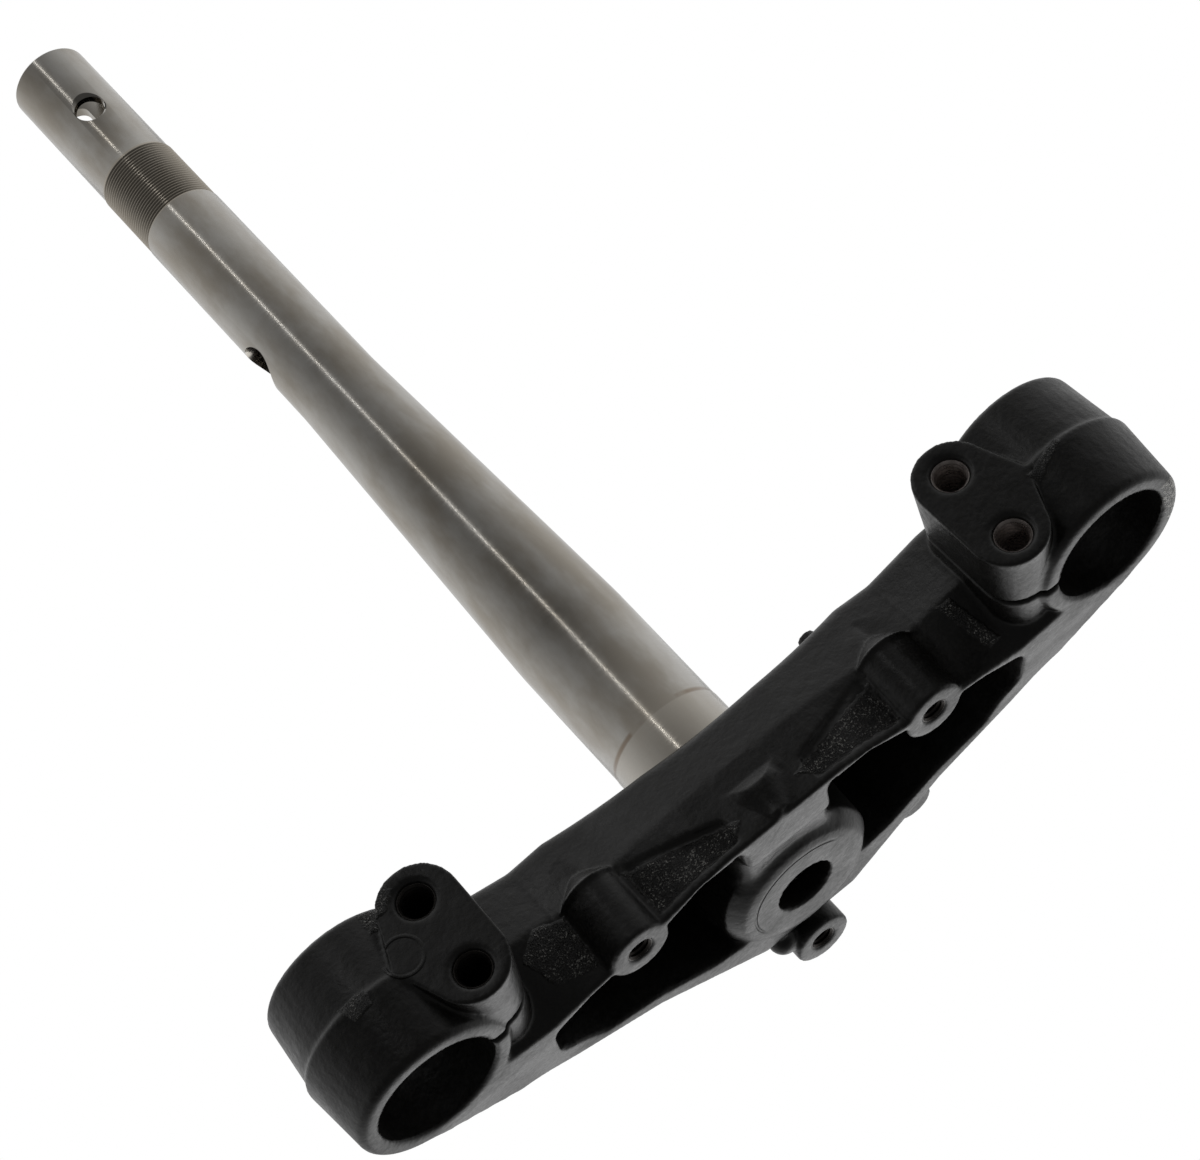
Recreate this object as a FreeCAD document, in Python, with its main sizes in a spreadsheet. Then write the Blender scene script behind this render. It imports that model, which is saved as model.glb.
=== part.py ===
import FreeCAD, Part
import math
import os
import re

import Sketcher

# Lower triple clamp of a scooter fork with its pressed-in steering stem.
# The frame stands as the part is fitted: the steering axis is Z, the fork tubes
# stand to the left and right along X, and -Y is the front of the vehicle.
# The origin is on the steering axis at the shoulder that carries the lower bearing.

doc = FreeCAD.newDocument("triple_clamp")
sheet = doc.addObject("Spreadsheet::Sheet", "Sizes")

SIZES = [
    # Places of the fork tubes about the steering axis
    ("fork_x", 103.25, "fork axis to the steering axis, across"),
    ("fork_y", 45.5, "fork axis in front of the steering axis"),
    # Heights of the casting
    ("yoke_height", 40.0, "underside of the clamps to the bearing shoulder"),
    ("parting", 20.0, "underside of the clamps to the parting line"),
    ("ridge_mid", 9.5, "underside to the parting line at the middle of the beam"),
    ("rear_lift", 3.3, "rear wall's rim above the underside"),
    ("hub_lift", 1.0, "hub's land above the underside"),
    ("dip", 5.2, "how far the beam's top dips in the middle"),
    ("dip_end", 46.0, "half length of the dip at the top"),
    # Split clamps
    ("bore_r", 16.5, "fork tube bore"),
    ("clamp_low_r", 21.6, "clamp at its underside"),
    ("clamp_part_r", 23.6, "clamp just below the parting line"),
    ("clamp_step", 0.9, "step at the parting line"),
    ("clamp_top_r", 21.3, "clamp at its top"),
    ("clamp_edge", 1.2, "rounded edge of a clamp's rim"),
    ("bore_edge", 0.6, "chamfer of a clamp's bore"),
    ("slit", 1.6, "gap that the pinch bolts close"),
    ("slit_y", 46.9, "middle of the gap in front of the steering axis"),
    # Pinch lugs
    ("lug_x", 81.0, "pinch bolts to the steering axis"),
    ("lug_y", 68.0, "front face of the lugs"),
    ("lug_r", 10.4, "rounded ends of a lug"),
    ("lug_bottom", 0.1, "bottom of a lug above the underside"),
    ("lug_low", 8.6, "lower bolt above the underside"),
    ("lug_high", 31.0, "upper bolt above the underside"),
    ("lug_back", 36.0, "how far back a lug's section runs"),
    ("lug_draft", 4.0, "draft of a lug in degrees, narrower to the back"),
    ("bolt_r", 4.5, "threaded hole of a pinch bolt"),
    ("bolt_sink", 1.1, "chamfer of a pinch bolt's hole"),
    ("bolt_depth", 34.0, "depth of a pinch bolt's hole from the lug's face"),
    # Beam: distances of its walls from the steering axis
    ("front_x", 18.0, "half length of the front wall's middle stretch"),
    ("front_mid", 42.4, "middle of the front wall at the parting line"),
    ("front_mid_rim", 43.5, "the same at the rim"),
    ("front_mid_top", 36.4, "the same at the top"),
    ("waist_x", 57.0, "where the front wall lies furthest back"),
    ("waist", 37.4, "front wall there at the parting line"),
    ("waist_rim", 34.8, "the same at the rim"),
    ("waist_top", 32.6, "the same at the top"),
    ("front_end_x", 73.0, "where the front wall meets the lugs"),
    ("front_end", 41.2, "front wall there at the parting line"),
    ("front_end_rim", 31.8, "the same at the rim"),
    ("front_end_top", 37.8, "the same at the top"),
    ("rear_x", 14.5, "half length of the rear wall's middle stretch"),
    ("rear_mid", 24.2, "rear wall there"),
    ("knee_x", 45.0, "the rear wall's knee, across"),
    ("knee", 7.3, "rear wall at its knee"),
    ("bow_x", 70.0, "middle of the rear wall's outer stretch, across"),
    ("bow", 1.2, "rear wall there, in front of the steering axis"),
    ("rear_end_x", 87.0, "where the rear wall turns to the clamp"),
    ("rear_end", 8.0, "rear wall there, in front of the steering axis"),
    ("rear_lean", 1.6, "how far the rear wall leans in, up and down"),
    ("top_round", 4.5, "rounded upper edge of the beam"),
    # Underside pockets
    ("rim", 2.6, "thickness of the wall's rim"),
    ("top_wall", 7.0, "thickness of the beam's top"),
    ("pocket_draft", 7.0, "draft of the pockets in degrees"),
    ("pocket_end_x", 73.5, "outer end of a pocket"),
    ("web", 13.0, "half width of the web between the pockets"),
    ("corner_r", 4.0, "rounded corners of the pockets"),
    ("valley_y", 29.5, "front of the valley between the web's foot and the hub"),
    ("valley", 4.5, "depth of that valley"),
    # Rough recesses in the front wall, between its middle and the bosses
    ("lip", 2.5, "rim left below a recess"),
    ("recess_in", 12.0, "start of a recess, across"),
    ("recess_bend", 26.0, "bend of its floor, across"),
    ("recess_out", 36.5, "end of a recess, across"),
    ("recess_top", 17.5, "top of a recess at its outer end above the underside"),
    ("recess_mid", 41.2, "its floor at the bend"),
    ("recess_end", 37.7, "its floor at the outer end"),
    # Hub and stem socket
    ("hub_r", 22.3, "hub"),
    ("hub_top_r", 21.8, "hub at the bearing shoulder"),
    ("hub_edge", 4.0, "sloped lower edge of the hub"),
    ("land_r", 15.8, "groove round the hub's flat land"),
    ("groove", 0.7, "width and depth of that groove"),
    ("centre_r", 8.15, "hole through the hub's floor"),
    ("socket_floor", 8.0, "end of the stem above the underside"),
    # Bosses
    ("boss_x", 45.65, "front bosses to the steering axis"),
    ("boss_y", 34.8, "front bosses in front of the steering axis"),
    ("boss_r", 8.5, "front bosses"),
    ("boss_top", 19.4, "top of the front bosses"),
    ("crown_r", 9.4, "crown over a front boss"),
    ("crown", 11.5, "height of that crown"),
    ("back_y", 32.4, "rear boss behind the steering axis"),
    ("back_r", 8.1, "rear boss"),
    ("back_top", 24.0, "top of the rear boss"),
    ("neck", 5.2, "half width of the neck to the rear boss"),
    ("thread_r", 3.4, "threaded holes of the bosses"),
    ("thread_depth", 16.0, "depth of those holes"),
    ("thread_sink", 0.5, "their chamfer"),
    ("stop_x", 37.2, "stop boss to the side of the steering axis"),
    ("stop_y", 12.9, "stop boss behind the steering axis"),
    ("stop_r", 5.5, "stop boss"),
    ("stop_lift", 5.0, "stop boss above the underside"),
    ("bulge_r", 5.4, "stub of the gate in the middle of the front wall"),
    ("bulge_crown_r", 6.4, "crown over the stub"),
    ("nub_r", 2.6, "small nub on the beam's top"),
    ("nub_x", 37.8, "the nub's place, across"),
    ("nub_y", 27.0, "the nub's place, to the front"),
    ("nub_rise", 1.2, "the nub's height"),
    # Steering stem, heights above the bearing shoulder
    ("seat_r", 16.85, "bearing seat"),
    ("foot_r", 16.5, "foot of the stem, pressed into the hub"),
    ("seat_rise", 16.0, "end of the bearing seat"),
    ("body_r", 16.6, "stem above the bearing seat"),
    ("taper_start", 57.0, "start of the taper"),
    ("taper_end", 163.5, "end of the taper"),
    ("shank_r", 12.65, "shank below the thread"),
    ("thread_low", 235.0, "start of the thread"),
    ("thread_high", 267.0, "end of the thread"),
    ("stem_thread_r", 12.5, "outside of the thread"),
    ("neck_r", 12.2, "plain end above the thread"),
    ("stem_top", 317.5, "top of the stem"),
    ("tube_r", 9.2, "inside of the stem at its top"),
    ("foot_wall", 4.6, "wall of the stem at its foot"),
    ("cross_r", 4.6, "cross hole near the top"),
    ("cross_z", 290.0, "cross hole"),
    ("cross_turn", 5.0, "cross hole's turn from the front in degrees"),
    ("lock_r", 8.0, "steering lock hole"),
    ("lock_z", 185.5, "steering lock hole"),
    ("lock_turn", -10.0, "lock hole's turn from the left in degrees"),
]

ALIASES = {alias for alias, _, _ in SIZES}

for row, (alias, value, meaning) in enumerate(SIZES, start=1):
    sheet.set(f"A{row}", meaning)
    sheet.set(f"B{row}", str(value))
    sheet.setAlias(f"B{row}", alias)
doc.recompute()


def sized(expression):
    """The expression with each size in it read from the sheet."""

    def from_sheet(word):
        return f"Sizes.{word[0]}" if word[0] in ALIASES else word[0]

    return re.sub(r"[a-z_]+[a-z0-9_]*", from_sheet, expression)


def new_body(name):
    body = doc.addObject("PartDesign::Body", name)
    body.Label = name
    return body


def new_sketch(body, name, role, shift="0", across="0", turn=0.0):
    """A sketch on one of the body's own planes, moved along its normal and across."""
    sketch = body.newObject("Sketcher::SketchObject", name)
    origin = [part for part in body.Origin.OriginFeatures if part.Role == role]
    sketch.AttachmentSupport = [(origin[0], "")]
    sketch.MapMode = "FlatFace"
    upright = FreeCAD.Vector(0, 1, 0)
    sketch.AttachmentOffset = FreeCAD.Placement(FreeCAD.Vector(), FreeCAD.Rotation(upright, turn))
    sketch.setExpression("AttachmentOffset.Base.z", sized(shift))
    sketch.setExpression("AttachmentOffset.Base.x", sized(across))
    return sketch


def place(sketch, geometry, end, across, up):
    """Ties a point of the sketch to its sizes."""
    for kind, expression in (("DistanceX", across), ("DistanceY", up)):
        index = sketch.addConstraint(Sketcher.Constraint(kind, -1, 1, geometry, end, 1.0))
        sketch.setExpression(f"Constraints[{index}]", sized(expression))


def outline(sketch, corners):
    """A closed outline of straight lines through its corners."""
    count = len(corners)
    first = []
    for number in range(count):
        angle = 2 * math.pi * number / count
        first.append(FreeCAD.Vector(50 * math.cos(angle), 50 * math.sin(angle), 0))
    lines = []
    for number in range(count):
        line = Part.LineSegment(first[number], first[(number + 1) % count])
        lines.append(sketch.addGeometry(line, False))
    for number in range(count):
        following = lines[(number + 1) % count]
        sketch.addConstraint(Sketcher.Constraint("Coincident", lines[number], 2, following, 1))
    for line, (across, up) in zip(lines, corners):
        place(sketch, line, 1, across, up)


def disc(sketch, across, up, radius):
    """A circle about a placed centre."""
    circle = Part.Circle(FreeCAD.Vector(0, 0, 0), FreeCAD.Vector(0, 0, 1), 5.0)
    geometry = sketch.addGeometry(circle, False)
    index = sketch.addConstraint(Sketcher.Constraint("Radius", geometry, 5.0))
    sketch.setExpression(f"Constraints[{index}]", sized(radius))
    place(sketch, geometry, 3, across, up)


def feature(body, kind, name, sketch, length, back=False, taper=None):
    """A pad or pocket of the sketch; a turned-back one runs against its normal."""
    made = body.newObject(f"PartDesign::{kind}", name)
    made.Profile = sketch
    made.Reversed = back
    made.setExpression("Length", sized(length))
    if taper:
        made.setExpression("TaperAngle", sized(taper))
    sketch.Visibility = False
    return made


def through(body, kind, name, sketch):
    """A pad or pocket that runs both ways from its sketch, past the whole casting."""
    made = body.newObject(f"PartDesign::{kind}", name)
    made.Profile = sketch
    made.SideType = "Symmetric"
    made.setExpression("Length", sized("4 * yoke_height"))
    return made


def turned(body, kind, name, sketch):
    """A full turn of the sketch about its own upright axis."""
    made = body.newObject(f"PartDesign::{kind}", name)
    made.Profile = sketch
    made.ReferenceAxis = (sketch, ["V_Axis"])
    made.Angle = 360.0
    return made


def rounded(body, kind, name, radius, chosen):
    """A fillet or chamfer on the edges of the last shape that the test picks."""
    doc.recompute()
    base = body.Tip
    edges = [f"Edge{n}" for n, edge in enumerate(base.Shape.Edges, start=1) if chosen(edge)]
    made = body.newObject(f"PartDesign::{kind}", name)
    made.Base = (base, edges)
    made.setExpression("Radius" if kind == "Fillet" else "Size", sized(radius))
    doc.recompute()
    return made


def size(alias):
    return float(sheet.get(alias))


def mirrored(half):
    """The corners of one side and, in turn, those of the other."""
    other = [(f"-({across})", up) for across, up in reversed(half)]
    return half + other


# Lower yoke: one steel casting, painted black

yoke = new_body("lower_yoke")
UNDERSIDE = "-yoke_height"
PARTING = "parting - yoke_height"

# The beam between the clamps is widest at its parting line and leans in, up and down.


def beam_plan(name, height, level, lean):
    """The beam's outline at one height; the level names the front wall's sizes."""
    plan = new_sketch(yoke, name, "XY_Plane", height)
    half = [
        ("front_x", f"-front_mid{level}"),
        ("waist_x", f"-waist{level}"),
        ("front_end_x", f"-front_end{level}"),
        ("fork_x - 10", f"-front_end{level} - 2"),
        ("fork_x + 8", "-fork_y + 0.8 * clamp_part_r"),
        ("rear_end_x", f"-rear_end - {lean}"),
        ("bow_x", f"-bow - {lean}"),
        ("knee_x", f"knee - {lean}"),
        ("rear_x", f"rear_mid - {lean}"),
    ]
    outline(plan, mirrored(half))
    return plan


def loft(kind, name, low, high):
    """A body with straight sides between two outlines."""
    made = yoke.newObject(f"PartDesign::{kind}Loft", name)
    made.Profile = low
    made.Sections = [high]
    made.Ruled = True
    return made


rim_plan = beam_plan("beam_rim_plan", UNDERSIDE, "_rim", "rear_lean")
widest = beam_plan("beam_parting_plan", PARTING, "", "0")
loft("Additive", "beam_lower", rim_plan, widest)
widest = beam_plan("beam_upper_plan", PARTING, "", "0")
top_plan = beam_plan("beam_top_plan", "0", "_top", "rear_lean")
loft("Additive", "beam_upper", widest, top_plan)

# The beam's top dips between the clamps, in one long arc.
arch = new_sketch(yoke, "top_dip", "XZ_Plane")
arch_r = "((dip_end * dip_end + dip * dip) / (2 * dip))"
disc(arch, "0", f"{arch_r} - dip", arch_r)
through(yoke, "Pocket", "beam_dip", arch)


def upper_edge(edge):
    """Whether an edge runs along the top of the beam, clear of the clamps."""
    box = edge.BoundBox
    high = box.ZMin > -size("dip") - 0.01
    return high and box.XLength > 0.2 * box.YLength and max(box.XMax, -box.XMin) < size("fork_x") - 5


rounded(yoke, "Fillet", "beam_top_round", "top_round", upper_edge)

# Two pockets open downwards on either side of the hub.
half_pocket = [
    ("web", "-front_mid_rim + rim"),
    ("front_x + 8", "-front_mid_rim + rim"),
    ("waist_x - 18", "-waist_rim + rim - 3.5"),
    ("waist_x + 4", "-waist_rim + rim"),
    ("pocket_end_x", "-front_end_rim + rim + 1.5"),
    ("pocket_end_x", "-rear_end - rim - 2"),
    ("knee_x + 16", "knee - 9.5"),
    ("knee_x", "knee - 5.5"),
    ("rear_x + 14", "rear_mid - 15"),
    ("web", "rear_mid - 12"),
]
for side, hand in (("right", "1"), ("left", "-1")):
    hollow = new_sketch(yoke, f"{side}_pocket_plan", "XY_Plane", UNDERSIDE)
    outline(hollow, [(f"{hand} * ({across})", up) for across, up in half_pocket])
    deep = "yoke_height - top_wall - dip"
    feature(yoke, "Pocket", f"{side}_pocket", hollow, deep, back=True, taper="-pocket_draft")



def pocket_corner(edge):
    """Whether an edge is an upright corner of a pocket."""
    box = edge.BoundBox
    tall = box.ZLength > 0.5 * size("yoke_height")
    within = max(abs(box.XMin), abs(box.XMax)) < size("pocket_end_x") + 1
    return tall and within and box.ZMax < -size("top_wall") - 1


rounded(yoke, "Fillet", "pocket_corners", "corner_r", pocket_corner)

# A valley parts the web's foot from the hub.
trough = new_sketch(yoke, "valley_plan", "XY_Plane", UNDERSIDE)
outline(
    trough,
    [
        ("-web - 2", "-valley_y"),
        ("web + 2", "-valley_y"),
        ("web + 2", "-0.5 * hub_r"),
        ("-web - 2", "-0.5 * hub_r"),
    ],
)
feature(yoke, "Pocket", "web_valley", trough, "valley", back=True, taper="-2 * pocket_draft")


def recess_plan(name, hand, height, start, bend, floors):
    """The outline of a front recess at one height, open to the front."""
    plan = new_sketch(yoke, name, "XY_Plane", height)
    corners = [
        (start, "-front_mid_rim - 4"),
        ("recess_out", "-front_mid_rim - 4"),
        ("recess_out", floors[2]),
        (bend, floors[1]),
        (start, floors[0]),
    ]
    outline(plan, [(f"{hand} * ({across})", up) for across, up in corners])
    return plan


# Recesses in the front wall leave a lip at the rim and a sloping ridge above.
DEEP = ("-recess_mid - 0.4", "-recess_mid", "-recess_end")
SHALLOW = ("-recess_end - 2", "-recess_end - 1.9", "-recess_end - 1.8")
for side, hand in (("right", "1"), ("left", "-1")):
    levels = []
    for name, height, start, bend, floors in (
        ("low", "lip - yoke_height", "recess_in", "recess_bend", DEEP),
        ("middle", "ridge_mid - yoke_height", "recess_in", "recess_bend", DEEP),
        ("high", "recess_top - yoke_height", "recess_out - 1.2", "recess_out - 0.6", SHALLOW),
    ):
        levels.append(recess_plan(f"{side}_recess_{name}_plan", hand, height, start, bend, floors))
    feature(yoke, "Pocket", f"{side}_recess", levels[0], "ridge_mid - lip", back=True)
    loft("Subtractive", f"{side}_recess_slope", levels[1], levels[2])

# The rear wall's rim stands a little higher than the clamps.
lift = new_sketch(yoke, "rear_rise", "YZ_Plane")
outline(
    lift,
    [
        ("-0.55 * fork_y", "-yoke_height"),
        ("-6", "rear_lift - yoke_height"),
        ("fork_y", "rear_lift - yoke_height"),
        ("fork_y", "-1.2 * yoke_height"),
        ("-0.55 * fork_y", "-1.2 * yoke_height"),
    ],
)
lifted = yoke.newObject("PartDesign::Pocket", "rear_rim")
lifted.Profile = lift
lifted.SideType = "Symmetric"
lifted.setExpression("Length", sized("3 * fork_x"))

# Split clamps, widest at the parting line, and the lugs of the pinch bolts.
for side, hand in (("right", "1"), ("left", "-1")):
    barrel = new_sketch(yoke, f"{side}_clamp_profile", "XZ_Plane", "fork_y", f"{hand} * fork_x")
    outline(
        barrel,
        [
            ("0", "-yoke_height"),
            ("clamp_low_r - clamp_edge", "-yoke_height"),
            ("clamp_low_r", "clamp_edge - yoke_height"),
            ("clamp_part_r", "parting - yoke_height"),
            ("clamp_part_r - clamp_step", "parting - yoke_height + 0.6 * clamp_step"),
            ("clamp_top_r", "-clamp_edge"),
            ("clamp_top_r - clamp_edge", "0"),
            ("0", "0"),
        ],
    )
    turned(yoke, "Revolution", f"{side}_clamp", barrel)
    face = new_sketch(yoke, f"{side}_lug_face", "XZ_Plane", "lug_y")
    levels = ("lug_bottom + lug_r - yoke_height", "-lug_r")
    inner = f"{hand} * (lug_x - lug_r)"
    flank = f"{hand} * (lug_x + 0.94 * lug_r)"
    outline(
        face,
        [
            (inner, levels[0]),
            (flank, f"{levels[0]} - 0.33 * lug_r"),
            (f"{hand} * (fork_x - 0.325 * clamp_part_r)", PARTING),
            (flank, f"{levels[1]} + 0.33 * lug_r"),
            (inner, levels[1]),
        ],
    )
    feature(yoke, "Pad", f"{side}_lug", face, "lug_back", back=True, taper="-lug_draft")
    for end, level in zip(("low", "high"), levels):
        curve = new_sketch(yoke, f"{side}_lug_{end}_round", "XZ_Plane", "lug_y")
        disc(curve, f"{hand} * lug_x", level, "lug_r")
        name = f"{side}_lug_{end}_end"
        feature(yoke, "Pad", name, curve, "lug_back", back=True, taper="-lug_draft")

# Hub about the stem.
hub = new_sketch(yoke, "hub_profile", "XZ_Plane")
outline(
    hub,
    [
        ("0", "hub_lift - yoke_height"),
        ("land_r", "hub_lift - yoke_height"),
        ("land_r + 0.5 * groove", "hub_lift + groove - yoke_height"),
        ("land_r + groove", "hub_lift - yoke_height"),
        ("0.5 * hub_r + 0.5 * land_r", "hub_lift + 0.2 * hub_edge - yoke_height"),
        ("hub_r", "hub_lift + hub_edge - yoke_height"),
        ("hub_r + 0.5", PARTING),
        ("hub_top_r", "0"),
        ("0", "0"),
    ],
)
turned(yoke, "Revolution", "hub", hub)

# Bosses that take the mudguard: two on the front wall and one behind the hub.
for side, hand in (("right", "1"), ("left", "-1")):
    spot = new_sketch(yoke, f"{side}_boss_plan", "XY_Plane", UNDERSIDE)
    disc(spot, f"{hand} * boss_x", "-boss_y", "boss_r")
    feature(yoke, "Pad", f"{side}_boss", spot, "boss_top")
    crown = new_sketch(yoke, f"{side}_crown_profile", "XZ_Plane", "boss_y", f"{hand} * boss_x")
    outline(
        crown,
        [
            ("0", "boss_top - yoke_height"),
            ("crown_r", "boss_top - yoke_height"),
            ("0.8 * crown_r", "boss_top + 0.6 * crown - yoke_height"),
            ("0.3 * crown_r", "boss_top + crown - yoke_height"),
            ("0", "boss_top + crown - yoke_height"),
        ],
    )
    turned(yoke, "Revolution", f"{side}_crown", crown)
spot = new_sketch(yoke, "rear_boss_plan", "XY_Plane", UNDERSIDE)
disc(spot, "0", "back_y", "back_r")
feature(yoke, "Pad", "rear_boss", spot, "back_top")
bridge = new_sketch(yoke, "neck_plan", "XY_Plane", "2 * rear_lift - yoke_height")
outline(bridge, [("-neck", "0"), ("neck", "0"), ("neck", "back_y"), ("-neck", "back_y")])
feature(yoke, "Pad", "rear_neck", bridge, "back_top - 2 * rear_lift")
spot = new_sketch(yoke, "stop_plan", "XY_Plane", "stop_lift - yoke_height")
disc(spot, "stop_x", "stop_y", "stop_r")
feature(yoke, "Pad", "stop_boss", spot, "parting")
cone = new_sketch(yoke, "bulge_profile", "XZ_Plane", "front_mid")
outline(
    cone,
    [
        ("0", "1.5 - yoke_height"),
        ("0.6 * bulge_r", "1.5 - yoke_height"),
        ("bulge_r", "ridge_mid - yoke_height"),
        ("bulge_crown_r", "ridge_mid - yoke_height"),
        ("0.8 * bulge_crown_r", "1.6 * ridge_mid - yoke_height"),
        ("0.3 * bulge_crown_r", "2.2 * ridge_mid - yoke_height"),
        ("0", "2.2 * ridge_mid - yoke_height"),
    ],
)
turned(yoke, "Revolution", "front_bulge", cone)
spot = new_sketch(yoke, "nub_plan", "XY_Plane", "-dip")
disc(spot, "nub_x", "-nub_y", "nub_r")
feature(yoke, "Pad", "top_nub", spot, "dip + nub_rise")

# Bores for the fork tubes, and the gaps and threaded holes that clamp them.
for side, hand in (("right", "1"), ("left", "-1")):
    fork = new_sketch(yoke, f"{side}_bore_plan", "XY_Plane")
    disc(fork, f"{hand} * fork_x", "-fork_y", "bore_r")
    through(yoke, "Pocket", f"{side}_bore", fork)
    gap = new_sketch(yoke, f"{side}_slit_plan", "XY_Plane")
    front = "-slit_y - 0.5 * slit"
    rear = "-slit_y + 0.5 * slit"
    inner = f"{hand} * (lug_x - 2 * lug_r)"
    outline(gap, [(inner, front), (f"{hand} * fork_x", front), (f"{hand} * fork_x", rear), (inner, rear)])
    through(yoke, "Pocket", f"{side}_slit", gap)
    for level in ("low", "high"):
        hole = new_sketch(yoke, f"{side}_{level}_bolt", "XZ_Plane", "lug_y")
        disc(hole, f"{hand} * lug_x", f"lug_{level} - yoke_height", "bolt_r")
        feature(yoke, "Pocket", f"{side}_{level}_bolt_hole", hole, "bolt_depth")

# Threaded holes of the bosses, from below.
spots = (
    ("right_boss", "boss_x", "-boss_y"),
    ("left_boss", "-boss_x", "-boss_y"),
    ("rear_boss", "0", "back_y"),
)
for name, across, up in spots:
    hole = new_sketch(yoke, f"{name}_hole_plan", "XY_Plane", UNDERSIDE)
    disc(hole, across, up, "thread_r")
    feature(yoke, "Pocket", f"{name}_hole", hole, "thread_depth", back=True)

# Socket of the stem from above, and the hole through its floor.
socket = new_sketch(yoke, "socket_plan", "XY_Plane")
disc(socket, "0", "0", "foot_r")
feature(yoke, "Pocket", "stem_socket", socket, "yoke_height - socket_floor")
centre = new_sketch(yoke, "centre_plan", "XY_Plane")
disc(centre, "0", "0", "centre_r")
through(yoke, "Pocket", "centre_hole", centre)


def mouths(radius, placed):
    """A test for the round edges of that radius whose box passes another test."""

    def chosen(edge):
        curve = edge.Curve
        right = hasattr(curve, "Radius") and abs(curve.Radius - size(radius)) < 0.01
        return right and placed(edge.BoundBox)

    return chosen


def at_underside(box):
    return abs(box.ZMax + size("yoke_height")) < 0.01


def at_either_end(box):
    return box.ZLength < 0.01 and (at_underside(box) or abs(box.ZMax) < 0.01)


def at_lug_face(box):
    return abs(box.YMin + size("lug_y")) < 0.01 and box.YLength < 0.01


rounded(yoke, "Chamfer", "bore_chamfers", "bore_edge", mouths("bore_r", at_either_end))
rounded(yoke, "Chamfer", "bolt_chamfers", "bolt_sink", mouths("bolt_r", at_lug_face))
rounded(yoke, "Chamfer", "boss_chamfers", "thread_sink", mouths("thread_r", at_underside))

# Steering stem: a turned and ground steel tube, pressed into the hub

stem = new_body("steering_stem")
section = new_sketch(stem, "stem_profile", "XZ_Plane")
outline(
    section,
    [
        ("seat_r - foot_wall", "socket_floor - yoke_height"),
        ("foot_r", "socket_floor - yoke_height"),
        ("foot_r", "0"),
        ("seat_r", "0"),
        ("seat_r", "seat_rise"),
        ("body_r", "seat_rise + 0.3"),
        ("body_r", "taper_start"),
        ("shank_r", "taper_end"),
        ("shank_r", "thread_low - 1"),
        ("stem_thread_r", "thread_low"),
        ("stem_thread_r", "thread_high"),
        ("neck_r", "thread_high + 1"),
        ("neck_r", "stem_top - 0.8"),
        ("neck_r - 0.8", "stem_top"),
        ("tube_r", "stem_top"),
        ("tube_r", "taper_end"),
        ("seat_r - foot_wall", "seat_rise"),
    ],
)
turned(stem, "Revolution", "stem_tube", section)
cross = new_sketch(stem, "cross_hole_plan", "XZ_Plane", turn=size("cross_turn"))
disc(cross, "0", "cross_z", "cross_r")
through(stem, "Pocket", "cross_hole", cross)
lock = new_sketch(stem, "lock_hole_plan", "YZ_Plane", turn=size("lock_turn"))
disc(lock, "0", "lock_z", "lock_r")
feature(stem, "Pocket", "lock_hole", lock, "2 * seat_r")
doc.recompute()

faults = []
for thing in doc.Objects:
    if "Invalid" in thing.State or "Error" in thing.State:
        faults.append(f"{thing.Name}: {thing.State}")
for body in (yoke, stem):
    if body.Shape.isNull() or not body.Shape.isValid() or len(body.Shape.Solids) != 1:
        faults.append(f"{body.Label}: no single valid solid")
if faults:
    raise RuntimeError("; ".join(faults))

os.makedirs("parts", exist_ok=True)
for body in (yoke, stem):
    body.Shape.exportStep(f"parts/{body.Label}.step")
    print(body.Label, round(body.Shape.Volume), body.Shape.BoundBox)
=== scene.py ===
import math

import bmesh
import bpy
import numpy as np
from mathutils import Matrix, Vector


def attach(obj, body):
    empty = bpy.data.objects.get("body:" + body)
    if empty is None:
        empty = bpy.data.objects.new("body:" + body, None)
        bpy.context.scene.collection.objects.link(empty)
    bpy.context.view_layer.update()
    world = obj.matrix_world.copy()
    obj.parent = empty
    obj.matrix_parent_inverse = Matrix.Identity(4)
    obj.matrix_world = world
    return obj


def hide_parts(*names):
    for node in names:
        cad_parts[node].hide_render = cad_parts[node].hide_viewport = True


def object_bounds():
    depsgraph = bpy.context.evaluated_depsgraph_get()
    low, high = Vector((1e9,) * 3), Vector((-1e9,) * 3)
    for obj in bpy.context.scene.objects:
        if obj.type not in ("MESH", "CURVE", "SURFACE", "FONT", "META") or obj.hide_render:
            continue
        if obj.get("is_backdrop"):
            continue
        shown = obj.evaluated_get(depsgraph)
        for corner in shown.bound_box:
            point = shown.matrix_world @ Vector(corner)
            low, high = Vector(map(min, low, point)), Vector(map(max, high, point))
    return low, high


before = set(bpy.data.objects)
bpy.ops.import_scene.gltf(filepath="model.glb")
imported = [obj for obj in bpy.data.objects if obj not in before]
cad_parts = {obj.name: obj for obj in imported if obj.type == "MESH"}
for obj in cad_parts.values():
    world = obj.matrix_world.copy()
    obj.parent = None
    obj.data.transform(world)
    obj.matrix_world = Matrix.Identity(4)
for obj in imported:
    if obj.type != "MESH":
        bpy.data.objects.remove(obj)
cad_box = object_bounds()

scene = bpy.context.scene
scene.view_settings.view_transform = "Standard"


# Lower yoke: one steel casting, painted black, with its pockets, clamps and bosses.
# The rough skin, the rounded inner corners and the lumps of the mould are made here,
# over a copy of the plain solid; the bores and boss faces stay true.
MILLI = 1000  # millimetres in a metre, which is what Blender counts in
YOKE_BOTTOM, PARTING, YOKE_TOP = -40.0, -20.0, 0.0
FORK_X, FORK_Y, FORK_BORE = 103.25, -45.5, 16.5
BOSS_X, BOSS_Y = 45.65, -34.8
SKIN_STEP = 0.6
LUMPS = (
    ((-8.6, 27.4, -34.8), 4.2),
    ((-5.6, 30.6, -34.6), 3.6),
    ((-0.9, -44.6, -37.6), 1.9),
)


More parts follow.
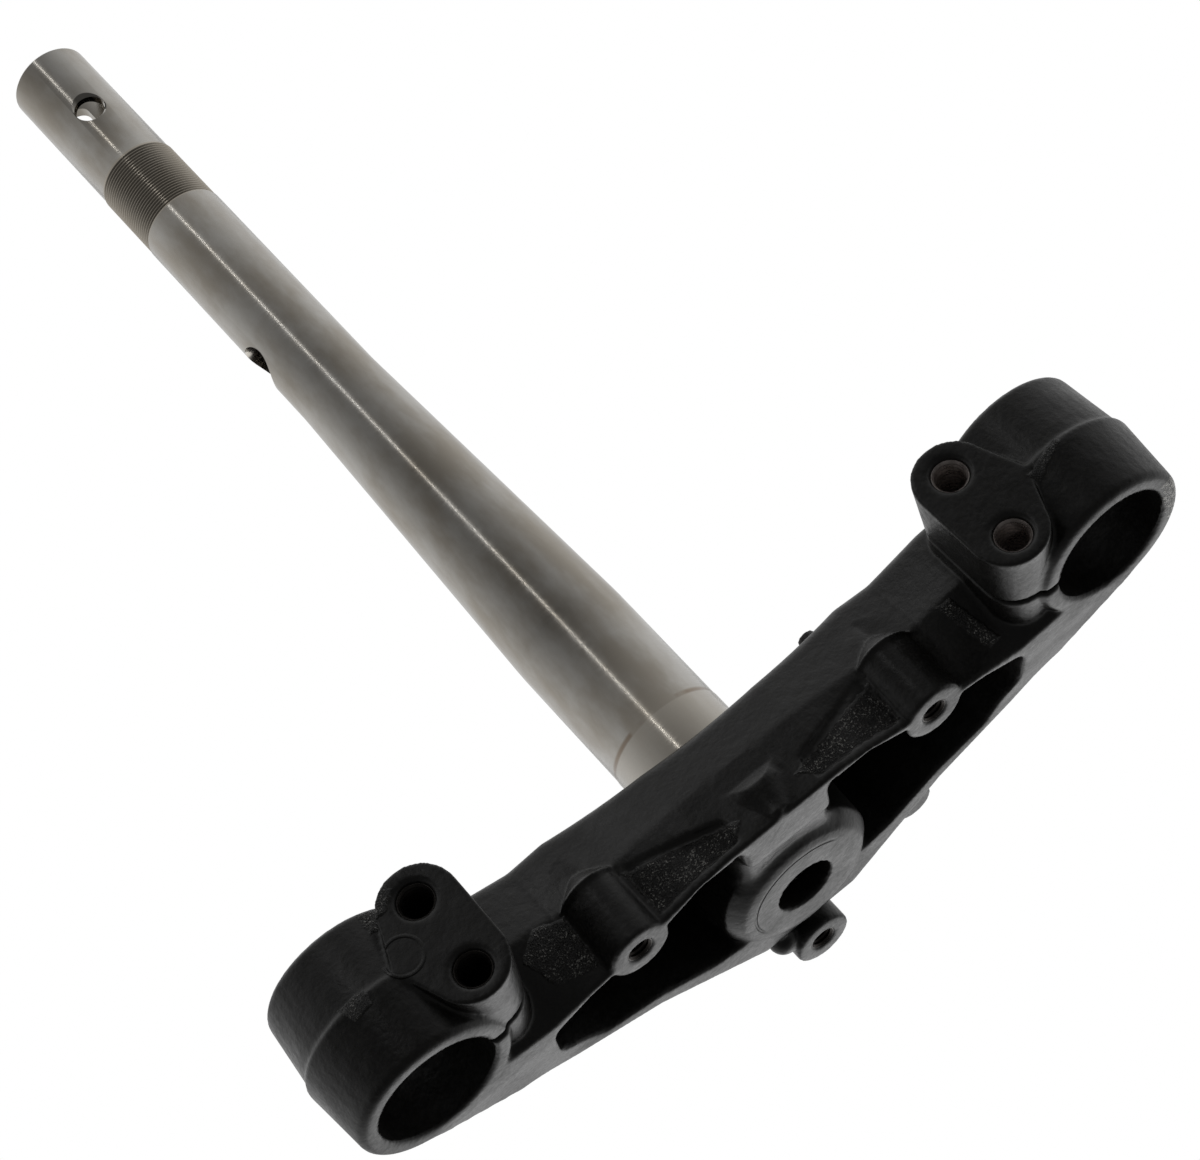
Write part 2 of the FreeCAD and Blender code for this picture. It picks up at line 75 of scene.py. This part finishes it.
def show(name, shape):
    """A piece with the mesh of a bmesh, shaded smooth."""
    mesh = bpy.data.meshes.new(name)
    shape.to_mesh(mesh)
    shape.free()
    mesh.shade_smooth()
    piece = bpy.data.objects.new(name, mesh)
    scene.collection.objects.link(piece)
    return piece


def settle(piece):
    """Makes the work of a piece's modifiers its own mesh."""
    held = bpy.context.evaluated_depsgraph_get()
    made = bpy.data.meshes.new_from_object(piece.evaluated_get(held))
    piece.modifiers.clear()
    piece.data = made


def read_points(piece):
    """The X, Y and Z of every point of a piece, in millimetres."""
    points = np.empty(len(piece.data.vertices) * 3)
    piece.data.vertices.foreach_get("co", points)
    return points.reshape(-1, 3).T * MILLI


def write_points(piece, x, y, z):
    """Puts the points of a piece at these places in millimetres."""
    points = np.stack((x, y, z), axis=1) / MILLI
    piece.data.vertices.foreach_set("co", points.ravel())
    piece.data.update()


def between(values, low, high):
    """Which of the values lie between two others."""
    return (values > low) & (values < high)


cast = bmesh.new()
cast.from_mesh(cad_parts["lower_yoke"].data)
bmesh.ops.remove_doubles(cast, verts=cast.verts, dist=1e-6)
for spot, radius in LUMPS:
    lump = bmesh.ops.create_icosphere(cast, subdivisions=3, radius=radius / MILLI)
    bmesh.ops.translate(cast, verts=lump["verts"], vec=Vector(spot) / MILLI)
yoke = show("yoke_casting", cast)
skin = yoke.modifiers.new("skin", "REMESH")
skin.mode = "VOXEL"
skin.voxel_size = SKIN_STEP / MILLI
skin.use_smooth_shade = True
settle(yoke)

# The hollows between the front web and the hub grow shallower towards the middle.
HOLLOW_HALF, HOLLOW_FLAT, HOLLOW_DEPTH = 15.5, 12.0, 0.65
HUB_EDGE, HUB_FOOT = 21.5, 18.6
x, y, z = read_points(yoke)
from_axis = np.hypot(x, y)
hollow = (np.abs(x) < HOLLOW_HALF) & between(y, -42, -14) & (z < -34) & (from_axis > HUB_EDGE)
outward = np.clip((np.abs(x) - HOLLOW_FLAT) / (HOLLOW_HALF - HOLLOW_FLAT), 0, 1)
depth = HOLLOW_DEPTH + (1 - HOLLOW_DEPTH) * outward
z[hollow] = YOKE_BOTTOM + ((z - YOKE_BOTTOM) * depth)[hollow]
write_points(yoke, x, y, z)

# Hollows and gate stub flow into the form around them; elsewhere only corners are eased.
soft = (np.abs(x) < 16.5) & between(y, -42, -14) & (z < -31) & (from_axis > HUB_FOOT)
soft |= (np.abs(x) < 9) & (y < -41) & between(z, -38, -16)
group = yoke.vertex_groups.new(name="soft")
group.add([int(n) for n in np.flatnonzero(soft)], 1.0, "REPLACE")
for name, rounds, chosen in (("soften", 6, ""), ("blend", 90, "soft")):
    ease = yoke.modifiers.new(name, "SMOOTH")
    ease.factor = 0.5
    ease.iterations = rounds
    ease.vertex_group = chosen
thin = yoke.modifiers.new("thin", "DECIMATE")
thin.ratio = 0.35
settle(yoke)
yoke.data.shade_smooth()

# The fork bores are machined after casting, so their walls are true again.
x, y, z = read_points(yoke)
for side in (-1, 1):
    across, back = x - side * FORK_X, y - FORK_Y
    reach = np.hypot(across, back)
    near = (np.abs(reach - FORK_BORE) < 0.4) & between(z, YOKE_BOTTOM + 0.4, YOKE_TOP - 0.4)
    x[near] += (across * (FORK_BORE / reach - 1))[near]
    y[near] += (back * (FORK_BORE / reach - 1))[near]

# Over each front boss a low crown ends in a slope, or at the wall where that stands
# further out. The wall draws back from the web's end to the clamps.
BOTTOM_FRONT, PARTING_FRONT, TOP_FRONT = -43.5, -42.4, -36.4
WEB_END, WALL_RUN, PARTING_DRAW, TOP_DRAW = 18, 39, 5.0, 3.8
CROWN_RADIUS, CROWN_SLOPE, CROWN_LEVEL = 9.4, 1.2, -20.6
outward = (np.abs(x) - WEB_END) / WALL_RUN
low = PARTING_FRONT + outward * PARTING_DRAW
top = TOP_FRONT + outward * TOP_DRAW
wall = low + (top - low) * (z - PARTING) / (YOKE_TOP - PARTING)
for side in (-1, 1):
    across, back = x - side * BOSS_X, y - BOSS_Y
    reach = np.maximum(np.hypot(across, back), 1e-6)
    to_wall = (wall - BOSS_Y) / np.minimum(back / reach, -0.05)
    kept = np.maximum(CROWN_RADIUS - CROWN_SLOPE * np.maximum(z - CROWN_LEVEL, 0), to_wall)
    crown = (np.abs(across) < 10.5) & (back < -1) & between(z, -20.8, -6) & (reach > kept)
    x[crown] = side * BOSS_X + (across * kept / reach)[crown]
    y[crown] = BOSS_Y + (back * kept / reach)[crown]

# The stub of the gate in the middle of the front wall stands low.
STUB_HALF, STUB_HEIGHT, STUB_SLOPE, STUB_LEVEL = 7.6, 2.4, 0.7, -29.5
wall = np.interp(z, (YOKE_BOTTOM, PARTING, YOKE_TOP), (BOTTOM_FRONT, PARTING_FRONT, TOP_FRONT))
out_by = wall - y
limit = np.clip(STUB_HEIGHT - STUB_SLOPE * np.maximum(z - STUB_LEVEL, 0), 0, None)
stub = (np.abs(x) < STUB_HALF) & between(z, -39.3, -16) & (out_by > 0.05)
y[stub] = (wall - np.minimum(out_by * 0.5, limit))[stub]
write_points(yoke, x, y, z)


class Socket:
    """A shader value that can be reckoned with."""

    def __init__(self, look, out):
        self.look = look
        self.out = out

    def math(self, kind, *others):
        return self.look.node("ShaderNodeMath", enumerate((self, *others)), operation=kind)

    def __add__(self, other):
        return self.math("ADD", other)

    def __sub__(self, other):
        return self.math("SUBTRACT", other)

    def __rsub__(self, other):
        return self.look.node("ShaderNodeMath", {0: other, 1: self}, operation="SUBTRACT")

    def __mul__(self, other):
        return self.math("MULTIPLY", other)

    def __pow__(self, other):
        return self.math("POWER", other)

    def __abs__(self):
        return self.math("ABSOLUTE")

    __radd__ = __add__
    __rmul__ = __mul__

    def low(self, other):
        return self.math("MINIMUM", other)

    def high(self, other):
        return self.math("MAXIMUM", other)

    def step(self, low, high, first=0.0, last=1.0):
        """Runs smoothly from first to last as the value goes from low to high."""
        sockets = {"Value": self, "From Min": low, "From Max": high, "To Min": first, "To Max": last}
        return self.look.node("ShaderNodeMapRange", sockets, "Result", interpolation_type="SMOOTHSTEP")

    def mix(self, first, last):
        """A colour between two, each a colour or a socket."""
        return self.look.node("ShaderNodeMix", {0: self, 6: first, 7: last}, 2, data_type="RGBA")


class Look:
    """The nodes of a material or a world; patterns read the piece's own coordinates."""

    def __init__(self, owner, **constants):
        owner.use_nodes = True
        self.owner = owner
        self.tree = owner.node_tree
        self.shader = self.tree.nodes.get("Principled BSDF")
        self.place = None
        for socket, value in constants.items():
            self.shader.inputs[socket].default_value = value

    def node(self, kind, sockets=(), result=0, **settings):
        """A new node with its settings, and the values or links of its sockets."""
        node = self.tree.nodes.new(kind)
        for name, value in settings.items():
            setattr(node, name, value)
        for name, value in dict(sockets).items():
            socket = node.inputs[name]
            if isinstance(value, Socket):
                self.tree.links.new(value.out, socket)
            else:
                socket.default_value = (*value, 1.0) if socket.type == "RGBA" else value
        if node.outputs:
            return Socket(self, node.outputs[result])

    def places(self):
        """Where a point of the piece lies, in metres."""
        if self.place is None:
            self.place = self.node("ShaderNodeTexCoord", result="Object")
        return self.place

    def axis(self, letter):
        """How far along an axis a point lies, in millimetres."""
        return MILLI * self.node("ShaderNodeSeparateXYZ", {0: self.places()}, letter)

    def noise(self, millimetres, detail, rough, stretch=(1, 1, 1), shift=(0, 0, 0)):
        """Noise whose cells are about that size."""
        sockets = {"Vector": self.places(), "Location": shift, "Scale": stretch}
        sockets = {"Vector": self.node("ShaderNodeMapping", sockets), "Scale": MILLI / millimetres}
        sockets |= {"Detail": detail, "Roughness": rough}
        return self.node("ShaderNodeTexNoise", sockets, "Fac")

    def feed(self, socket, value):
        self.tree.links.new(value.out, self.shader.inputs[socket])

    def bump(self, height, millimetres):
        sockets = {"Distance": millimetres / MILLI, "Strength": 1.0, "Height": height}
        self.feed("Normal", self.node("ShaderNodeBump", sockets, "Normal"))

    def cover(self, piece):
        piece.data.materials.clear()
        piece.data.materials.append(self.owner)


paint = Look(bpy.data.materials.new("black_paint"), Metallic=0.0)


def patch(corners, letters="XZ", ragged=1.6):
    """Whether a place lies inside an outline in millimetres, with a ragged edge.

    The outline is convex, and its corners run anticlockwise.
    """
    first, second = paint.axis(letters[0]), paint.axis(letters[1])
    stray = ragged * paint.noise(2.2, 2, 0.6) - ragged / 2
    edge = None
    for (u, v), following in zip(corners, corners[1:] + corners[:1]):
        du, dv = following[0] - u, following[1] - v
        length = math.hypot(du, dv)
        depth = first * (-dv / length) + second * (du / length) + (dv * u - du * v) / length
        edge = depth if edge is None else edge.low(depth)
    return (edge + stray).step(-0.2, 0.9)


# Places on the front wall, given as X and Z, where the mould left a coarse grit: left
# and right of the stub, beside both bosses, at both clamps and on the left lug.
# Within these patches some of the grit is also painted pale, as painted glints of light.
ROUGH_PATCHES = (
    [(-8, -33.5), (-37.6, -23.6), (-37.2, -37.4), (-13, -37.4)],
    [(8, -33.2), (14, -37.0), (37.4, -37.4), (37.6, -25.0)],
    [(-54.5, -22), (-62, -19.5), (-69, -25), (-66, -34), (-55, -36.5)],
    [(63, -20.5), (66.5, -36), (70.5, -35), (67.2, -21)],
    [(-110.5, -18.5), (-109, -24), (-103.5, -23.5), (-103, -19)],
    [(94, -22.2), (94.6, -25.6), (97.5, -24.4), (105.5, -20.8), (104.5, -19.4)],
    [(-93.5, -7.5), (-87.6, -7.0), (-83.5, -3.2), (-84.5, 0.4), (-93.5, 0.4)],
)
front = 1 - paint.axis("Y").step(-34.5, -34.0)
grain = paint.noise(0.9, 3, 0.6)
lumps = paint.noise(3.5, 2, 0.5)
broad = paint.noise(16, 2, 0.5)
grit = paint.noise(0.5, 3, 0.7)
rough = patch(ROUGH_PATCHES[0])
for corners in ROUGH_PATCHES[1:]:
    rough = rough.high(patch(corners))
rough = rough * front

# A raised ring from the mould stands on the left lug's front face.
RING_X, RING_Z, RING_RADIUS = -91.3, -18.5, 5.0
ring_x = paint.axis("X") - RING_X
ring_z = paint.axis("Z") - RING_Z
ring = 1 - abs((ring_x * ring_x + ring_z * ring_z) ** 0.5 - RING_RADIUS).step(0.15, 0.6)
ring = ring * (1 - paint.axis("Y").step(-67.2, -66.8))

# The right clamp's lower rim has lost paint on its outer side, given as X and Y.
WORN_RIM = [(119.0, -54.0), (125.5, -54.0), (125.5, -33.5), (121.0, -33.5)]
worn = patch(WORN_RIM, "XY", 3.4) * (1 - paint.axis("Z").step(-39.2, -38.5))
worn = worn * paint.noise(1.6, 3, 0.7).step(0.46, 0.56)

# A shallow groove runs part of the way round the land of the hub.
GROOVE_RADIUS = 15.7
arc = (paint.axis("X") * paint.axis("X") + paint.axis("Y") * paint.axis("Y")) ** 0.5
arc = (1 - abs(arc - GROOVE_RADIUS).step(0.1, 0.6)) * (1 - paint.axis("Z").step(-37.5, -36.5))
arc = arc * (1 - (0.6 * paint.axis("X") + 0.8 * paint.axis("Y")).step(-8, 0))

BLACK, WORN_BLACK, PAINTED_GLINT_AND_BARE_CAST = (0.0052, 0.0048, 0.0040), (0.0098, 0.0092, 0.0080), (0.5, 0.49, 0.46)
# The pale colour is a painted highlight in the rough patches, standing in for glints of light on the
# grit; on the worn rim it is the bare casting where the paint is gone.
painted_glint_and_wear = (rough * grit.step(0.54, 0.66) * lumps.step(0.38, 0.56)).high(worn)
dark = grain.step(0.35, 0.7).mix(BLACK, WORN_BLACK)
paint.feed("Base Color", painted_glint_and_wear.mix(dark, PAINTED_GLINT_AND_BARE_CAST))
paint.feed("Roughness", broad.step(0.35, 0.65, 0.27, 0.38) + grain.step(0.3, 0.7, 0.0, 0.1))
relief = 0.16 * grain + 0.5 * lumps + 2.2 * (rough * grit) + 1.1 * ring + 0.6 * (worn * grit) - 1.2 * arc
paint.bump(relief, 0.4)
paint.cover(yoke)
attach(yoke, "root")
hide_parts("lower_yoke")


# Threads of the pinch bolts' and mudguard screws' holes, cut in the bare casting.
# They are short threaded sleeves that sit in the walls of the plain holes.
LUG_X, LUG_FRONT, BOLT_LEVELS = 81, -66.6, (-31.4, -9.0)
REAR_BOSS_Y, BOSS_MOUTH = 32.4, -39.5
BOLT, SCREW = (4.45, 1.5, 15), (3.4, 1.25, 11)
TO_REAR, UPWARDS = -90, 0
BACKING, THREAD_DEPTH = 0.3, 0.5
holes = [((side * LUG_X, LUG_FRONT, z), TO_REAR, BOLT) for side in (-1, 1) for z in BOLT_LEVELS]
holes += [((side * BOSS_X, BOSS_Y, BOSS_MOUTH), UPWARDS, SCREW) for side in (-1, 1)]
holes.append(((0, REAR_BOSS_Y, BOSS_MOUTH), UPWARDS, SCREW))


def turned(shape, outline, steps):
    """Turns a closed outline, given by radius and height, about Z."""
    corners = [shape.verts.new((radius / MILLI, 0, level / MILLI)) for radius, level in outline]
    edges = [shape.edges.new(pair) for pair in zip(corners, corners[1:] + corners[:1])]
    bmesh.ops.spin(
        shape, geom=corners + edges, cent=(0, 0, 0), axis=(0, 0, 1), angle=2 * math.pi, steps=steps,
        use_merge=True,
    )


thread = bmesh.new()
for spot, lean, (radius, pitch, count) in holes:
    sleeve = [(radius + BACKING, 0.0), (radius, 0.0)]
    crest = radius - THREAD_DEPTH
    for n in range(count):
        sleeve += [(crest, pitch * (n + 0.45)), (crest, pitch * (n + 0.6)), (radius, pitch * (n + 1))]
    sleeve.append((radius + BACKING, pitch * count))
    turned(thread, sleeve, 56)
    fresh = [v for v in thread.verts if not v.tag]
    place = Matrix.Translation(Vector(spot) / MILLI) @ Matrix.Rotation(math.radians(lean), 4, "X")
    bmesh.ops.transform(thread, matrix=place, verts=fresh)
    for v in fresh:
        v.tag = True
bmesh.ops.remove_doubles(thread, verts=thread.verts, dist=1e-7)
bmesh.ops.recalc_face_normals(thread, faces=thread.faces)
threads = show("threads", thread)
threads.data.set_sharp_from_angle(angle=math.radians(28))

# Paint has run into all of them but the right lug's, which are bare and a little stained.
STAINED, CLEAN, PAINTED = (0.34, 0.3, 0.28), (0.66, 0.6, 0.57), (0.02, 0.018, 0.016)
bare = Look(bpy.data.materials.new("bare_thread"), Metallic=0.85)
stain = bare.noise(4, 3, 0.6)
painted = 1 - bare.axis("X").step(50, 70)
bare.feed("Base Color", (0.93 * painted).mix(stain.step(0.35, 0.65).mix(STAINED, CLEAN), PAINTED))
bare.feed("Roughness", stain.step(0.3, 0.7, 0.26, 0.36))
bare.cover(threads)
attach(threads, "root")


# Steering stem: a turned and ground steel tube, pressed into the yoke's hub.
# It is drawn as one outline turned about the steering axis, with its fine thread
# and chamfers, and its cross hole and lock hole are cut through the wall.
FOOT, TOP = -32.0, 317.5
SEAT, SHANK, END = 16.85, 12.65, 12.2
FOOT_BORE, TOP_BORE = 12.25, 9.2
THREAD_START, THREAD_TURNS, THREAD_ROOT, THREAD_CREST = 243.0, 24, 12.1, 12.5
outline = [
    (12.3, FOOT), (SEAT, FOOT), (SEAT, 15.8), (16.7, 16.1), (16.7, 56.0), (16.62, 59.5),
    (12.75, 161.5), (SHANK, 164.5), (SHANK, 242.3), (12.45, THREAD_START),
]
for n in range(THREAD_TURNS):
    base = THREAD_START + n
    outline += [(THREAD_ROOT, base + 0.15), (THREAD_ROOT, base + 0.3)]
    outline += [(THREAD_CREST, base + 0.62), (THREAD_CREST, base + 0.82)]
outline += [
    (END, 267.6), (END, 316.7), (11.5, TOP), (TOP_BORE, TOP), (TOP_BORE, 163.5), (FOOT_BORE, 16.0),
    (FOOT_BORE, FOOT),
]
bar = bmesh.new()
turned(bar, outline, 128)
bmesh.ops.remove_doubles(bar, verts=bar.verts, dist=1e-7)
bmesh.ops.recalc_face_normals(bar, faces=bar.faces)
stem = show("stem", bar)

# Each cut has two radii, a rise that draws its upper half out into a slot, a length, a
# height, the way it points in degrees, and where it starts, out from the axis.
CROSS_HOLE, CROSS_RIM, CROSS_HEIGHT = 4.6, 6.8, 290.0
LOCK_HOLE, LOCK_HEIGHT = 7.6, 185.5
FRONT_WAY, BACK_WAY, LOCK_WAY = 275, 95, 177
CUTS = (
    (CROSS_HOLE, CROSS_HOLE, 0, 40, CROSS_HEIGHT, FRONT_WAY, -20),
    (CROSS_HOLE, CROSS_RIM, 0, 2.2, CROSS_HEIGHT, FRONT_WAY, 11.0),
    (CROSS_HOLE, CROSS_HOLE, 16.5, 15, CROSS_HEIGHT, BACK_WAY, 5),
    (LOCK_HOLE, LOCK_HOLE, 0, 22, LOCK_HEIGHT, LOCK_WAY, 0),
)
cutters = []
for near_radius, far_radius, rise, length, height, way, start in CUTS:
    drill = bmesh.new()
    bmesh.ops.create_cone(
        drill, cap_ends=True, segments=64, radius1=near_radius / MILLI, radius2=far_radius / MILLI,
        depth=length / MILLI,
    )
    for v in drill.verts:
        if v.co.x < -1e-6:
            v.co.x -= rise / MILLI
    facing = Matrix.Rotation(math.radians(way), 4, "Z") @ Matrix.Rotation(math.radians(90), 4, "Y")
    lift = Matrix.Translation((0, 0, height / MILLI))
    along = Matrix.Translation((0, 0, (start + length / 2) / MILLI))
    bmesh.ops.transform(drill, matrix=lift @ facing @ along, verts=drill.verts)
    cutter = show("cutter", drill)
    cut = stem.modifiers.new("cut", "BOOLEAN")
    cut.operation = "DIFFERENCE"
    cut.solver = "EXACT"
    cut.object = cutter
    cutters.append(cutter)
settle(stem)
for cutter in cutters:
    bpy.data.objects.remove(cutter)
stem.data.shade_smooth()
stem.data.set_sharp_from_angle(angle=math.radians(28))

# Ground bright, with faint rings from the wheel and clouds of grey. The thread and the
# seat are browner, and a stained line runs round where the seat ends.
SHADE, BRIGHT, STAIN_TONE = (0.34, 0.31, 0.265), (0.47, 0.455, 0.425), (0.2, 0.14, 0.09)
THREAD_TONE, SEAT_TONE = (0.42, 0.375, 0.31), (0.45, 0.42, 0.37)
SEAT_LINE = 16.6
steel = Look(bpy.data.materials.new("ground_steel"), Metallic=1.0)
streak = steel.noise(1.0, 3, 0.6, stretch=(0.15, 0.15, 2.2))
cloud = steel.noise(14, 4, 0.6, stretch=(1, 1, 0.45), shift=(0.3, 0.1, 0.7))
height = steel.axis("Z")
thread_band = height.step(242.2, 243.0) * (1 - height.step(267.2, 268.0))
seat = 1 - height.step(15.6, 16.2)
edge_line = (1 - abs(height - SEAT_LINE).step(0.2, 1.1)) * cloud.step(0.4, 0.55)
metal = cloud.step(0.35, 0.7).mix(SHADE, BRIGHT)
metal = (0.8 * thread_band).mix(metal, THREAD_TONE)
metal = (0.6 * seat).mix(metal, SEAT_TONE)
steel.feed("Base Color", (0.7 * edge_line).mix(metal, STAIN_TONE))
gloss = streak.step(0.3, 0.7, 0.13, 0.2) + cloud.step(0.4, 0.7, 0.0, 0.04)
steel.feed("Roughness", gloss + 0.06 * thread_band)
steel.bump(streak, 0.006)
steel.cover(stem)
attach(stem, "root")
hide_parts("steering_stem")


# Studio: a pale floor under the part, clear to a camera that looks from below, a white
# backdrop and two plain soft lamps.
FLOOR_LEVEL = -40.2
ground = bmesh.new()
bmesh.ops.create_grid(ground, x_segments=1, y_segments=1, size=2.0)
bmesh.ops.translate(ground, vec=(0, 0, FLOOR_LEVEL / MILLI), verts=ground.verts)
floor = show("floor", ground)
sheet = Look(bpy.data.materials.new("floor"))
sheet.tree.nodes.clear()
camera_ray = sheet.node("ShaderNodeLightPath", result="Is Camera Ray")
underside = sheet.node("ShaderNodeNewGeometry", result="Backfacing")
sides = {0: camera_ray, 1: underside}
seen = sheet.node("ShaderNodeMath", sides, operation="SUBTRACT", use_clamp=True)
clear = sheet.node("ShaderNodeBsdfTransparent")
pale = sheet.node("ShaderNodeBsdfDiffuse", {"Color": (0.8, 0.8, 0.8)})
mixed = sheet.node("ShaderNodeMixShader", {0: seen, 1: clear, 2: pale})
sheet.node("ShaderNodeOutputMaterial", {"Surface": mixed})
sheet.cover(floor)
floor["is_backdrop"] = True

# The backdrop is white to the camera; the room that lights the part is dim on the
# camera's side and pale on the far side.
VIEW_WAY = (0.1776, 0.8577, 0.4825)
scene.world = bpy.data.worlds.new("studio")
room = Look(scene.world)
room.tree.nodes.clear()
way = room.node("ShaderNodeTexCoord", result="Generated")
toward = room.node("ShaderNodeVectorMath", {0: way, 1: VIEW_WAY}, "Value", operation="DOT_PRODUCT")
span = {"Value": toward, "From Min": -0.6, "From Max": 0.6, "To Min": 0.1, "To Max": 0.95}
dim = room.node("ShaderNodeBackground", {"Strength": room.node("ShaderNodeMapRange", span, "Result")})
white = room.node("ShaderNodeBackground", {"Color": (1, 1, 1)})
camera_ray = room.node("ShaderNodeLightPath", result="Is Camera Ray")
mixed = room.node("ShaderNodeMixShader", {0: camera_ray, 1: dim, 2: white})
room.node("ShaderNodeOutputWorld", {"Surface": mixed})

# Each lamp has a place, a point that it aims at, a size and a power. The strip makes the
# thin bright line along the stem.
for name, spot, aim, size, watts in (
    ("softbox_below", (0.25, 1.25, -0.75), (0, 0, 0), (1.1, 1.1), 3.2),
    ("strip", (-0.206, -1.989, 1.6), (0, 0, 0.15), (0.03, 2.2), 1.6),
):
    lamp = bpy.data.lights.new(name, "AREA")
    lamp.shape = "RECTANGLE"
    lamp.size, lamp.size_y = size
    lamp.energy = watts
    lit = bpy.data.objects.new(name, lamp)
    lit.location = spot
    lit.rotation_euler = (Vector(aim) - Vector(spot)).to_track_quat("-Z", "Y").to_euler()
    scene.collection.objects.link(lit)

# The camera looks up at the part from below and in front.
lens = bpy.data.cameras.new("camera")
lens.sensor_width = 36.0
lens.lens = 95.894
lens.clip_start = 0.01
lens.clip_end = 20.0
eye = bpy.data.objects.new("camera", lens)
eye.matrix_world = Matrix((
    (0.774721, 0.606853, -0.177587, -0.133615),
    (0.180470, -0.481393, -0.857725, -0.722285),
    (-0.606002, 0.632448, -0.482464, -0.341132),
    (0, 0, 0, 1),
))
scene.collection.objects.link(eye)
scene.camera = eye

bpy.context.view_layer.update()
boxes = {"cad": cad_box, "visual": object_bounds()}
boxes = {name: [list(map(float, corner)) for corner in box] for name, box in boxes.items()}
